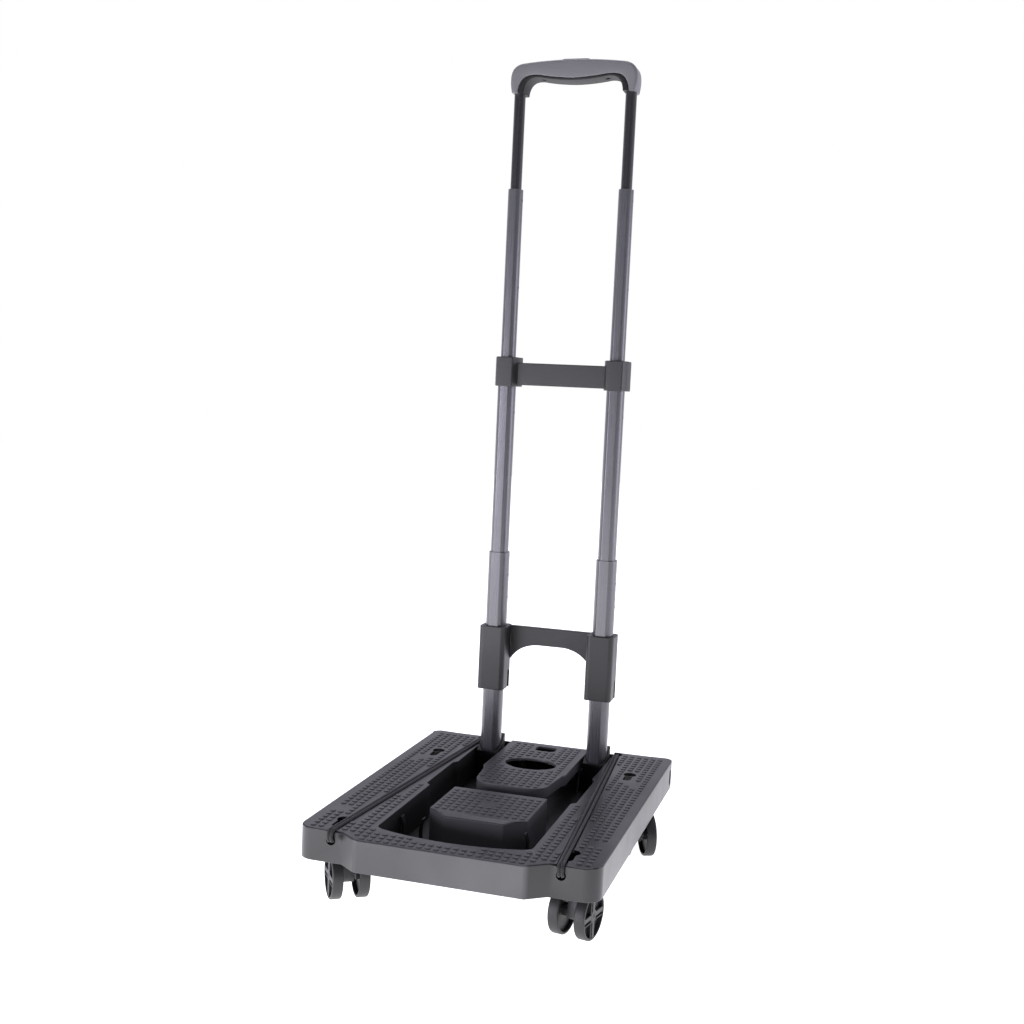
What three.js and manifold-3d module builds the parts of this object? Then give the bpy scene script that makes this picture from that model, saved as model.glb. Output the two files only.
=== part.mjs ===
// Folding platform cart: a moulded deck on four twin-wheel swivel casters, with a four-stage
// telescopic handle that folds forward into the deck. Millimetres, +Z up, +Y to the rear.
// Deck sizes below are measured from the deck's top face and from the front face of its rails.
import * as THREE from 'three';
import Module from 'manifold-3d';
import { mergeVertices } from 'three/addons/utils/BufferGeometryUtils.js';

const wasm = await Module();
wasm.setup();

// ---- driving dimensions -------------------------------------------------------------------
const GAP = 0.3; // running gap between touching pieces
const DECK_HEIGHT = 79; // deck top above the ground
const DECK_HALF = 145; // half width of the deck
const DECK_REAR = 380; // rear edge behind the rail fronts
const BAR_FRONT = -14; // front face of the nose bar
const SKIRT = 31; // height of the outer skirt
const WALL = 3;
const PLATE = 4; // thickness of the top plate
const FLOOR = -36; // top face of the bay floor
const BAY_HALF = 75.5; // half width of the handle bay beside the front block
const BAY_WIDE = 80.5; // half width where the lock slider lies
const BAY_STEP = 171; // where the bay starts to widen
const BAY_REAR_HALF = 76.6; // half width at the hinge
const BLOCK_HALF = 50;
const BLOCK_REAR = 176.4;
const COVER_HALF = 47;
const POLE_X = 63; // centre of each pole
const PIVOT_Y = 342;
const PIVOT_Z = -21;
const PIN_R = 4;
const TUBE_WALL = 1.2;
const TUBE_A = { half: 11.75, deep: 13, flat: 5.5, low: -5.7, top: 228 };
const TUBE_B = { half: 10, deep: 11.25, flat: 4.5, low: 200, top: 446 };
const TUBE_C = { half: 8.25, deep: 9.5, flat: 3.6, low: 418, top: 636 };
const TUBE_D = { half: 6.1, deep: 7.3, flat: 2.6, low: 612, top: 752 };
const SLIDER = { low: 70, top: 143, half: 15.5, front: -16.5, rear: 14.5 };
const BRACKET = { low: 417, top: 450, half: 13, front: -13.8, rear: 16 };
const GRIP_LOW = 740; // lower end of the grip's sockets
const CASTER_X = 119;
const CASTER_FRONT_Y = 55;
const CASTER_REAR_Y = 284;
const CASTER_TRAIL = 15;
const WHEEL_R = 23;
const WHEEL_WIDE = 10.6;
const WHEEL_OUT = 13; // wheel centre beside the caster's middle
const AXLE_R = 2.5;
const STEM_R = 4;
const SOCKET_R = 9; // caster socket under the top plate
const AXLE_Z = WHEEL_R - DECK_HEIGHT;
const CORD_THICK = 3.3;
const CORD_WIDE = 6.4; // two strands side by side
const KEYHOLE = { mouth: 7, slot: 4.2, run: 19 }; // mouth radius, slot half width, slot length
const CLIP = { front: 86, rear: 94, off: 8.6, half: 0.8, lean: 2.6, neck: -17, tip: -8 };
const BUTTON_UP = 36.8; // top of the push button above the grip's lower end
const YOKE = { low: 24.3, top: 26.4, half: 65.1 }; // heights above the grip's lower end

// ---- materials ----------------------------------------------------------------------------
const plastic = new THREE.MeshStandardMaterial({ color: 0x2b2b2e, roughness: 0.6, metalness: 0 });
const softBlack = new THREE.MeshStandardMaterial({ color: 0x232326, roughness: 0.75, metalness: 0 });
const bracketGrey = new THREE.MeshStandardMaterial({ color: 0x38383c, roughness: 0.55, metalness: 0 });
const tubeMetal = new THREE.MeshStandardMaterial({ color: 0x4a4a50, roughness: 0.38, metalness: 0.7 });
const steel = new THREE.MeshStandardMaterial({ color: 0x9a9ca0, roughness: 0.3, metalness: 1 });
const rubber = new THREE.MeshStandardMaterial({ color: 0x2d2d30, roughness: 0.8, metalness: 0 });
const cordBlack = new THREE.MeshStandardMaterial({ color: 0x1a1a1c, roughness: 0.9, metalness: 0 });

// ---- helpers ------------------------------------------------------------------------------
const cart = new THREE.Group();
cart.position.set(0, -(BAR_FRONT + DECK_REAR) / 2, DECK_HEIGHT);

/** A closed three.js geometry as a solid that can be joined and cut. */
function solid(geometry) {
  const bare = geometry.clone();
  bare.deleteAttribute('normal');
  bare.deleteAttribute('uv');
  const merged = mergeVertices(bare, 1e-4);
  return new wasm.Manifold(new wasm.Mesh({
    numProp: 3,
    vertProperties: new Float32Array(merged.attributes.position.array),
    triVerts: new Uint32Array(merged.index.array),
  }));
}

/** A solid back as a geometry. */
function geometryOf(body) {
  const found = body.getMesh();
  const geometry = new THREE.BufferGeometry();
  geometry.setAttribute('position', new THREE.BufferAttribute(new Float32Array(found.vertProperties), 3));
  geometry.setIndex(new THREE.BufferAttribute(new Uint32Array(found.triVerts), 1));
  geometry.computeVertexNormals();
  return geometry;
}

const join = (first, ...rest) => rest.reduce((all, next) => all.add(next), first);
const cut = (first, ...rest) => rest.reduce((all, next) => all.subtract(next), first);

function addPiece(name, body, material, parent = cart) {
  const geometry = body.isBufferGeometry ? body : geometryOf(body);
  const piece = new THREE.Mesh(geometry, material);
  piece.name = name;
  parent.add(piece);
  return piece;
}

/** A flat outline through the given points. */
function outline(points) {
  return new THREE.Shape(points.map(([u, v]) => new THREE.Vector2(u, v)));
}

/** A rounded rectangle from u0,v0 to u1,v1. */
function roundedRect(u0, u1, v0, v1, r) {
  const shape = new THREE.Shape();
  shape.moveTo(u0 + r, v0);
  shape.lineTo(u1 - r, v0);
  shape.absarc(u1 - r, v0 + r, r, -Math.PI / 2, 0);
  shape.lineTo(u1, v1 - r);
  shape.absarc(u1 - r, v1 - r, r, 0, Math.PI / 2);
  shape.lineTo(u0 + r, v1);
  shape.absarc(u0 + r, v1 - r, r, Math.PI / 2, Math.PI);
  shape.lineTo(u0, v0 + r);
  shape.absarc(u0 + r, v0 + r, r, Math.PI, Math.PI * 1.5);
  return shape;
}

function extruded(shape, depth, curveSegments) {
  return new THREE.ExtrudeGeometry(shape, { depth, curveSegments, bevelEnabled: false });
}

/** An outline in plan, carried up from z0 to z1. */
function prismZ(shape, z0, z1, steps = 4) {
  const geometry = extruded(shape, z1 - z0, steps);
  return solid(geometry.translate(0, 0, z0));
}

/** An outline in side view, (y, z), carried across from x0 to x1. */
function prismX(shape, x0, x1, steps = 4) {
  const geometry = extruded(shape, x1 - x0, steps);
  geometry.rotateX(Math.PI / 2).rotateZ(Math.PI / 2);
  return solid(geometry.translate(x0, 0, 0));
}

/** An outline in front view, (x, z), carried back from y0 to y1. */
function prismY(shape, y0, y1, steps = 4) {
  const geometry = extruded(shape, y1 - y0, steps);
  return solid(geometry.rotateX(Math.PI / 2).translate(0, y1, 0));
}

function block(x0, x1, y0, y1, z0, z1) {
  const geometry = new THREE.BoxGeometry(x1 - x0, y1 - y0, z1 - z0);
  return solid(geometry.translate((x0 + x1) / 2, (y0 + y1) / 2, (z0 + z1) / 2));
}

/** A round bar along X from x0 to x1, at height z and depth y. */
function barX(r, x0, x1, y, z, sides = 16) {
  const geometry = new THREE.CylinderGeometry(r, r, x1 - x0, sides);
  return solid(geometry.rotateZ(Math.PI / 2).translate((x0 + x1) / 2, y, z));
}

/** A round bar along Z from z0 to z1. */
function barZ(r, x, y, z0, z1, sides = 16) {
  const geometry = new THREE.CylinderGeometry(r, r, z1 - z0, sides);
  return solid(geometry.rotateX(Math.PI / 2).translate(x, y, (z0 + z1) / 2));
}

/** A round bar along Y from y0 to y1. */
function barY(r, x, y0, y1, z, sides = 12) {
  const geometry = new THREE.CylinderGeometry(r, r, y1 - y0, sides);
  return solid(geometry.translate(x, (y0 + y1) / 2, z));
}

const bothSides = (make) => [make(-1), make(1)];
const mirrorPoints = (points) => [...points, ...points.slice().reverse().map(([u, v]) => [-u, v])];

// ---- deck ---------------------------------------------------------------------------------
/** The deck's outer outline, moved inwards by inset. */
function deckOutline(inset) {
  const half = DECK_HALF - inset;
  const rear = DECK_REAR - inset;
  const front = inset;
  const frontR = 16 - inset;
  const rearR = 10 - inset;
  const shape = new THREE.Shape();
  shape.moveTo(-81 + inset * 0.4, BAR_FRONT + inset);
  shape.lineTo(81 - inset * 0.4, BAR_FRONT + inset);
  shape.lineTo(99 - inset * 0.4, front);
  shape.lineTo(half - frontR, front);
  shape.absarc(half - frontR, front + frontR, frontR, -Math.PI / 2, 0);
  shape.lineTo(half, rear - rearR);
  shape.absarc(half - rearR, rear - rearR, rearR, 0, Math.PI / 2);
  shape.lineTo(-half + rearR, rear);
  shape.absarc(-half + rearR, rear - rearR, rearR, Math.PI / 2, Math.PI);
  shape.lineTo(-half, front + frontR);
  shape.absarc(-half + frontR, front + frontR, frontR, Math.PI, Math.PI * 1.5);
  shape.lineTo(-99 + inset * 0.4, front);
  return shape;
}

/** The handle bay's outline, grown outwards by grow; it is open at the rear between the rails. */
function bayOutline(grow, rear) {
  const narrow = BAY_HALF + grow;
  const wide = BAY_WIDE + grow;
  const hinge = BAY_REAR_HALF + grow;
  const shape = new THREE.Shape();
  shape.moveTo(-narrow + 6, 24 - grow);
  shape.quadraticCurveTo(-42, 14 - grow, 0, 12.5 - grow);
  shape.quadraticCurveTo(42, 14 - grow, narrow - 6, 24 - grow);
  shape.quadraticCurveTo(narrow, 26 - grow, narrow, 34);
  const rightWall = [[narrow, BAY_STEP - grow], [wide, BAY_STEP + 5 - grow], [wide, 258 + grow],
    [hinge, 264 + grow], [hinge, rear]];
  for (const [u, v] of [...mirrorPoints(rightWall), [-narrow, 34]]) {
    shape.lineTo(u, v);
  }
  shape.quadraticCurveTo(-narrow, 26 - grow, -narrow + 6, 24 - grow);
  return shape;
}

/** A keyhole: a round mouth behind and a narrow slot running forward. */
function keyhole(x, y) {
  const shape = new THREE.Shape();
  shape.absarc(x, y, KEYHOLE.mouth, -Math.PI * 0.3, Math.PI * 1.3);
  shape.lineTo(x - KEYHOLE.slot, y - KEYHOLE.run);
  shape.absarc(x, y - KEYHOLE.run, KEYHOLE.slot, Math.PI, Math.PI * 2);
  return prismZ(shape, -PLATE - 1, 1);
}

/** The shallow channel in the deck's top in which a cord lies. */
function cordChannel(side) {
  const half = 4.2;
  const front = side * frontCordHole.x;
  const rear = side * rearCordHole.x;
  const points = [[front - half, -1], [front + half, -1], [rear + half, 370], [rear - half, 370]];
  return prismZ(outline(points), -2, 1);
}

const frontCordHole = { x: 110, z: -9.5, r: 4.8 };
const rearCordHole = { x: 80.5, y: 369.6, r: 6.9 };

function makeDeck() {
  const bayWall = prismZ(bayOutline(WALL, DECK_REAR - 1), FLOOR - WALL, -0.5);
  const shell = cut(prismZ(deckOutline(0), -SKIRT, 0), prismZ(deckOutline(WALL), -SKIRT - 1, -PLATE));
  const ribs = [95, 140, 185, 232, 330].flatMap((y) => bothSides((side) => block(
    ...(side < 0 ? [-DECK_HALF + 1, -BAY_WIDE] : [BAY_WIDE, DECK_HALF - 1]), y, y + 2, 1 - SKIRT, -1)));
  const noseRibs = [-60, -20, 20, 60].map((x) => block(x - 1, x + 1, BAR_FRONT + 1, 12, -24, -1));
  let deck = join(shell, bayWall, ...ribs, ...noseRibs);
  deck = cut(deck, prismZ(bayOutline(0, DECK_REAR + 5), FLOOR, 2));
  // the floor is open under the front block
  const window = block(-30, 30, 104, 162, FLOOR - 5, FLOOR + 1);
  // bearing ears beside the rear cover
  const ears = bothSides((side) => {
    const profile = outline([[322, FLOOR - 0.5], [362, FLOOR - 0.5], [354, -13], [330, -13]]);
    return prismX(profile, side < 0 ? -48.2 : 45.2, side < 0 ? -45.2 : 48.2);
  });
  // a wall closes the bay under the rear cover, and a plate closes the pocket under each front keyhole
  const wallPlan = outline(mirrorPoints([[76.8, FLOOR - 0.5], [76.8, -1.5], [48, -1.5], [48, -12.4]]));
  const rearWall = prismY(wallPlan, 372, 375);
  const pocketFloors = bothSides((side) => block(...(side < 0 ? [-131, -98] : [98, 131]), 1, 44, -20, -18));
  // upright clips in the bay's front hold the folded poles
  const clips = bothSides((side) => bothSides((prong) => {
    const lean = prong * CLIP.lean;
    const wall = outline([[-CLIP.half, FLOOR - 0.5], [CLIP.half, FLOOR - 0.5], [CLIP.half, CLIP.neck],
      [lean + CLIP.half, CLIP.tip], [lean - CLIP.half, CLIP.tip], [-CLIP.half, CLIP.neck]]);
    return prismY(wall, CLIP.front, CLIP.rear).translate(side * POLE_X + prong * CLIP.off, 0, 0);
  })).flat();
  deck = join(cut(deck, window), ...ears, rearWall, ...pocketFloors, ...clips);
  return cut(
    deck,
    ...bothSides((side) => barX(PIN_R + GAP, ...(side < 0 ? [-85, -44] : [44, 85]), PIVOT_Y, PIVOT_Z)),
    ...bothSides(cordChannel),
    ...bothSides((side) => barY(frontCordHole.r, side * frontCordHole.x, -2, 6, frontCordHole.z)),
    ...bothSides((side) => barZ(rearCordHole.r, side * rearCordHole.x, rearCordHole.y, -18, 2, 12)),
    ...bothSides((side) => keyhole(side * 111, 297)),
    ...bothSides((side) => keyhole(side * 112, 35)),
    ...bothSides((side) => block(...(side < 0 ? [-150, -140] : [140, 150]), 361, 367, -25, -10)),
  );
}
addPiece('deck', makeDeck(), plastic);

// ---- front block and rear cover -----------------------------------------------------------
function blockOutline(inset) {
  const half = BLOCK_HALF - inset;
  return outline(mirrorPoints([[half - 20, 88 + inset], [half, 101], [half, BLOCK_REAR - inset]]));
}

function makeFrontBlock() {
  const body = cut(prismZ(blockOutline(0), FLOOR + GAP, 0), prismZ(blockOutline(WALL), FLOOR - 1, -WALL));
  // the top steps down a little along its front edge
  const lip = prismX(outline([[80, 1], [93.5, 1], [93.5, -0.01], [87, -3], [80, -3]]), -60, 60);
  const posts = bothSides((side) => barZ(4.5, side * 38, 168, FLOOR + GAP, -1, 12));
  return join(cut(body, lip), ...posts);
}
addPiece('front_block', makeFrontBlock(), plastic);

function coverOutline(inset) {
  const shape = new THREE.Shape();
  const half = COVER_HALF - inset;
  shape.moveTo(-22, 201 + inset);
  shape.quadraticCurveTo(0, 199.5 + inset, 22, 201 + inset);
  shape.quadraticCurveTo(36 - inset, 203 + inset, 39.5 - inset, 218);
  for (const [u, v] of [[44 - inset, 259], [half, 264], [half, 376 - inset], [-half, 376 - inset], [-half, 264],
    [-44 + inset, 259], [-39.5 + inset, 218]]) {
    shape.lineTo(u, v);
  }
  shape.quadraticCurveTo(-36 + inset, 203 + inset, -22, 201 + inset);
  return shape;
}

function makeRearCover() {
  const body = cut(prismZ(coverOutline(0), -12, 0), prismZ(coverOutline(2.5), -13, -WALL));
  const hole = new THREE.Shape();
  hole.absellipse(0, 290, 29, 21, 0, Math.PI * 2);
  const posts = [235, 366].flatMap((y) => bothSides((side) => barZ(4.5, side * 30, y, FLOOR + GAP, -1, 12)));
  const slot = prismZ(roundedRect(-12, 12, 346, 364, 5), -WALL - 1, 1);
  return cut(join(body, ...posts), prismZ(hole, -WALL - 1, 1, 28), slot);
}
addPiece('rear_cover', makeRearCover(), plastic);

// ---- telescopic handle --------------------------------------------------------------------
/** A tube section: flat front and back faces, joined by bulging sides. */
function tubeOutline(tube, grow) {
  const half = tube.half + grow;
  const deep = tube.deep + grow;
  const flat = tube.flat + grow * 0.4;
  const rise = half - flat;
  const radius = (deep * deep + rise * rise) / (2 * rise);
  const swing = Math.asin(deep / radius);
  const shape = new THREE.Shape();
  shape.moveTo(-flat, -deep);
  shape.lineTo(flat, -deep);
  shape.absarc(half - radius, 0, radius, -swing, swing);
  shape.lineTo(-flat, deep);
  shape.absarc(-half + radius, 0, radius, Math.PI - swing, Math.PI + swing);
  return shape;
}

/** A tube with pairs of small lock holes through its sides. */
function makeTube(tube, lockHoles) {
  const wall = cut(
    prismZ(tubeOutline(tube, 0), tube.low, tube.top, 6),
    prismZ(tubeOutline(tube, -TUBE_WALL), tube.low - 1, tube.top + 1, 6),
  );
  return cut(wall, ...lockHoles.map((z) => barX(1.7, -20, 20, 0, z, 6)));
}

/** A guide plug that fills a tube's lower end, with a hole for the release rod. */
function makeGuidePlug(tube) {
  const plug = prismZ(tubeOutline(tube, -TUBE_WALL - GAP), tube.low + 1, tube.low + 13);
  return cut(plug, barZ(2.6, 0, 0, tube.low, tube.low + 14, 10));
}

function makeKnuckle() {
  const foot = new THREE.Shape();
  foot.absarc(0, PIVOT_Z, 13, Math.PI, Math.PI * 2);
  foot.lineTo(14.2, PIVOT_Z + 4);
  foot.lineTo(14.2, 13);
  foot.lineTo(-14.2, -3);
  foot.lineTo(-14.2, PIVOT_Z + 4);
  const socket = prismZ(tubeOutline(TUBE_A, GAP), TUBE_A.low - GAP, 20);
  return cut(prismX(foot, -12.8, 12.8, 10), socket, barX(PIN_R + GAP, -14, 14, 0, PIVOT_Z));
}

/** The hinge pin of one pole: a plain shaft with a head on its outer end. */
function makePivotPin(side) {
  const shaft = barX(PIN_R, ...(side < 0 ? [-80.2, -44.6] : [44.6, 80.2]), PIVOT_Y, PIVOT_Z);
  const head = barX(6, ...(side < 0 ? [-82.4, -80] : [80, 82.4]), PIVOT_Y, PIVOT_Z);
  return join(shaft, head);
}

const sideName = (side) => (side < 0 ? 'left' : 'right');
for (const side of [-1, 1]) {
  const pole = new THREE.Group();
  pole.position.set(side * POLE_X, PIVOT_Y, 0);
  cart.add(pole);
  addPiece(`tube_a_${sideName(side)}`, makeTube(TUBE_A, [176, 202]), tubeMetal, pole);
  addPiece(`tube_b_${sideName(side)}`, makeTube(TUBE_B, [388]), tubeMetal, pole);
  addPiece(`tube_c_${sideName(side)}`, makeTube(TUBE_C, [528, 624]), tubeMetal, pole);
  addPiece(`tube_d_${sideName(side)}`, makeTube(TUBE_D, []), tubeMetal, pole);
  addPiece(`guide_plug_b_${sideName(side)}`, makeGuidePlug(TUBE_B), softBlack, pole);
  addPiece(`guide_plug_c_${sideName(side)}`, makeGuidePlug(TUBE_C), softBlack, pole);
  addPiece(`guide_plug_d_${sideName(side)}`, makeGuidePlug(TUBE_D), softBlack, pole);
  addPiece(`knuckle_${sideName(side)}`, makeKnuckle(), softBlack, pole);
  addPiece(`pivot_pin_${sideName(side)}`, makePivotPin(side), steel);
}

// the remaining handle pieces are drawn about the poles' own plane
const handle = new THREE.Group();
handle.position.set(0, PIVOT_Y, 0);
cart.add(handle);

/** The lock slider: a sleeve round each lower tube, and an arched plate between them. */
function makeLockSlider() {
  const sleeves = bothSides((side) => prismZ(
    roundedRect(side * POLE_X - SLIDER.half, side * POLE_X + SLIDER.half, SLIDER.front, SLIDER.rear, 5.5),
    SLIDER.low, SLIDER.top));
  const inner = POLE_X - SLIDER.half;
  const arch = new THREE.Shape();
  arch.moveTo(-inner - 3, SLIDER.top - 1);
  arch.lineTo(inner + 3, SLIDER.top - 1);
  arch.lineTo(inner + 3, 102);
  arch.lineTo(inner, 103);
  arch.quadraticCurveTo(36, 121, 14, 121.5);
  arch.lineTo(-14, 121.5);
  arch.quadraticCurveTo(-36, 121, -inner, 103);
  arch.lineTo(-inner - 3, 102);
  const plate = prismY(arch, 8, SLIDER.rear - 0.5, 10);
  const bores = bothSides((side) => {
    const bore = prismZ(tubeOutline(TUBE_A, GAP + 0.05), SLIDER.low - 1, SLIDER.top + 1, 6);
    return bore.translate(side * POLE_X, 0, 0);
  });
  // open-ended slots low in the sleeves' sides, which drop over the hinge when it is locked
  const slots = bothSides((side) => block(
    side * POLE_X - 17, side * POLE_X + 17, 3, 8.5, SLIDER.low - 1, SLIDER.low + 20));
  return cut(join(sleeves[0], sleeves[1], plate), ...bores, ...slots);
}
addPiece('lock_slider', makeLockSlider(), bracketGrey, handle);

/** The upper bracket: a collar on top of each second tube, joined by a bar. */
function makeUpperBracket() {
  const collarPlan = outline([[-9, BRACKET.front], [9, BRACKET.front], [BRACKET.half, -4],
    [BRACKET.half, BRACKET.rear], [-BRACKET.half, BRACKET.rear], [-BRACKET.half, -4]]);
  const collars = bothSides((side) => prismZ(collarPlan, BRACKET.low, BRACKET.top)
    .translate(side * POLE_X, 0, 0));
  const bar = block(-POLE_X + 12, POLE_X - 12, -4, 13, BRACKET.low + 2, BRACKET.top - 6);
  const bores = bothSides((side) => join(
    prismZ(tubeOutline(TUBE_B, GAP), BRACKET.low - 1, TUBE_B.top + GAP, 6),
    prismZ(tubeOutline(TUBE_C, 0.5), BRACKET.low, BRACKET.top + 1, 6),
  ).translate(side * POLE_X, 0, 0));
  return cut(join(collars[0], collars[1], bar), ...bores);
}
addPiece('upper_bracket', makeUpperBracket(), bracketGrey, handle);

// ---- grip ---------------------------------------------------------------------------------
/** The grip's outer line in front view, from the left socket over the top to the right one. */
function gripOuter(shape) {
  shape.moveTo(-69.5, GRIP_LOW);
  shape.quadraticCurveTo(-71.5, GRIP_LOW + 8, -71, GRIP_LOW + 16);
  shape.quadraticCurveTo(-70.5, GRIP_LOW + 28.5, -58, GRIP_LOW + 31);
  shape.quadraticCurveTo(-30, GRIP_LOW + 34.5, 0, GRIP_LOW + 34.5);
  shape.quadraticCurveTo(30, GRIP_LOW + 34.5, 58, GRIP_LOW + 31);
  shape.quadraticCurveTo(70.5, GRIP_LOW + 28.5, 71, GRIP_LOW + 16);
  shape.quadraticCurveTo(71.5, GRIP_LOW + 8, 69.5, GRIP_LOW);
  return shape;
}

/** Two lines under the outer one, from leg to middle: x, and height above the grip's lower end. */
const GRIP_SEAM = { leg: [62.5, 0], bend: [61.5, 13], shoulder: [53, 17], crest: [46, 19.5], slope: [36, 18],
  sag: [18, 15], middle: [0, 14.5] };
const GRIP_UNDER = { leg: [55.5, 0], bend: [54.8, 11], shoulder: [47.5, 14.6], crest: [42, 16.8], slope: [34, 15],
  sag: [17, 12.2], middle: [0, 12] };

/** Carries a shape along such a line from the side given to the other one, drawn in by gap. */
function gripLine(shape, line, side, gap = 0) {
  const at = ([x, z], from) => [from * (x - (x > 0 ? gap : 0)), GRIP_LOW + Math.max(z - gap, 0)];
  const curve = (control, end, from) => shape.quadraticCurveTo(...at(control, from), ...at(end, from));
  shape.lineTo(...at(line.leg, side));
  curve(line.bend, line.shoulder, side);
  curve(line.crest, line.slope, side);
  curve(line.sag, line.middle, side);
  curve(line.sag, line.slope, -side);
  curve(line.crest, line.shoulder, -side);
  curve(line.bend, line.leg, -side);
  return shape;
}

const SCREW_X = 36;
const tubeSockets = () => bothSides((side) => {
  const socket = prismZ(tubeOutline(TUBE_D, GAP), GRIP_LOW - 1, TUBE_D.top + GAP, 6);
  return socket.translate(side * POLE_X, 0, 0);
});
const rodWays = () => bothSides((side) => block(
  side * POLE_X - 3.2, side * POLE_X + 3.2, -4, 4, GRIP_LOW, GRIP_LOW + 33));

function makeGripTop() {
  const body = prismY(gripLine(gripOuter(new THREE.Shape()), GRIP_SEAM, 1), -13.5, 13.5, 5);
  const hollow = block(-YOKE.half - 0.5, YOKE.half + 0.5, -5, 5, GRIP_LOW + 12, GRIP_LOW + YOKE.top + 0.5);
  const buttonSlot = prismZ(roundedRect(-17.5, 17.5, -6.5, 6.5, 6), GRIP_LOW + 26.5, GRIP_LOW + 50);
  return cut(body, hollow, buttonSlot, ...tubeSockets());
}

function makeGripBottom() {
  const lower = new THREE.Shape();
  lower.moveTo(-GRIP_SEAM.leg[0] + GAP, GRIP_LOW);
  gripLine(lower, GRIP_SEAM, -1, GAP);
  const body = prismY(gripLine(lower, GRIP_UNDER, 1), -12.6, 12.6, 5);
  const screwHoles = bothSides((side) => barZ(2.1 + GAP, side * SCREW_X, 0, GRIP_LOW, GRIP_LOW + 30, 10));
  return cut(body, ...tubeSockets(), ...screwHoles, ...rodWays());
}
addPiece('grip_top', makeGripTop(), plastic, handle);
addPiece('grip_bottom', makeGripBottom(), softBlack, handle);
for (const side of [-1, 1]) {
  const screw = barZ(2.1, side * SCREW_X, 0, GRIP_LOW + 16.4, GRIP_LOW + 20.8, 10);
  addPiece(`grip_screw_${sideName(side)}`, screw, steel, handle);
}

/** The push button: its cap stands proud of the grip and its foot rests on the yoke. */
function makeButton() {
  const cap = prismZ(roundedRect(-17, 17, -6, 6, 5.6), GRIP_LOW + 31, GRIP_LOW + BUTTON_UP, 6);
  return join(cap, barZ(3, 0, 0, GRIP_LOW + YOKE.top + GAP, GRIP_LOW + 31.4, 10));
}
addPiece('release_button', makeButton(), softBlack, handle);
const yoke = block(-YOKE.half, YOKE.half, -4, 4, GRIP_LOW + YOKE.low, GRIP_LOW + YOKE.top);
addPiece('release_yoke', yoke, softBlack, handle);
for (const side of [-1, 1]) {
  const rod = barZ(2, side * POLE_X, 0, TUBE_D.low + 3, GRIP_LOW + YOKE.low - GAP, 8);
  addPiece(`release_rod_${sideName(side)}`, rod, steel, handle);
}

/** A bowed leaf spring between the grip's lower shell and the yoke. */
function makeButtonSpring() {
  const leaf = new THREE.Shape();
  leaf.moveTo(-16, GRIP_LOW + 15.5);
  leaf.quadraticCurveTo(0, GRIP_LOW + 31.3, 16, GRIP_LOW + 15.5);
  leaf.lineTo(16, GRIP_LOW + 16);
  leaf.quadraticCurveTo(0, GRIP_LOW + 31.8, -16, GRIP_LOW + 16);
  return prismY(leaf, -3, 3, 6);
}
addPiece('button_spring', makeButtonSpring(), steel, handle);

// ---- casters ------------------------------------------------------------------------------
/** A wheel on the X axis: solid rim, thin web, hub, and a cross of double ribs on its outer face. */
function makeWheel(outward) {
  const edge = WHEEL_WIDE / 2;
  const rimIn = 20.4;
  const profile = [[0, -edge], [6, -edge], [6, -1.2], [rimIn, -1.2], [rimIn, -edge], [WHEEL_R - 1.4, -edge],
    [WHEEL_R, -edge + 1.4], [WHEEL_R, edge - 1.4], [WHEEL_R - 1.4, edge], [rimIn, edge], [rimIn, 1.2],
    [0, 1.2]];
  const turned = new THREE.LatheGeometry(profile.map(([r, h]) => new THREE.Vector2(r, h)), 22);
  const body = solid(turned.rotateZ(-Math.PI / 2));
  const ribs = [0, Math.PI / 2].flatMap((turn) => [[0, 4.6], [-5.2, 1.4]].map(([across, thick]) => {
    const rib = new THREE.BoxGeometry(edge - 0.4, thick, 2 * rimIn);
    return solid(rib.translate((edge - 0.4) / 2 + 0.2, across, 0).rotateX(turn));
  }));
  const cap = barX(5.4, 0.5, edge - 0.4, 0, 0, 16);
  const bore = barX(AXLE_R + GAP, -edge - 1, 3.4, 0, 0, 12);
  const wheel = cut(join(body, ...ribs, cap), bore);
  return outward > 0 ? wheel : wheel.rotate([0, 0, 180]);
}

/** The swivelling body between a caster's two wheels, hung from a round turntable. */
function makeCasterBody() {
  const web = new THREE.Shape();
  web.moveTo(12, -32.5);
  web.lineTo(11, -38);
  web.quadraticCurveTo(4, -50, -9, -61);
  web.absarc(-CASTER_TRAIL, AXLE_Z, 7.8, -0.7, -Math.PI, true);
  web.quadraticCurveTo(-22, -40, -12, -32.5);
  const body = prismX(web, -5.6, 5.6, 6);
  const table = barZ(12.5, 0, 0, -32.6, -27, 20);
  const axleBore = barX(AXLE_R + GAP, -7, 7, -CASTER_TRAIL, AXLE_Z, 12);
  return cut(join(body, table), axleBore, barZ(STEM_R + GAP, 0, 0, -40, -26, 12));
}

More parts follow.
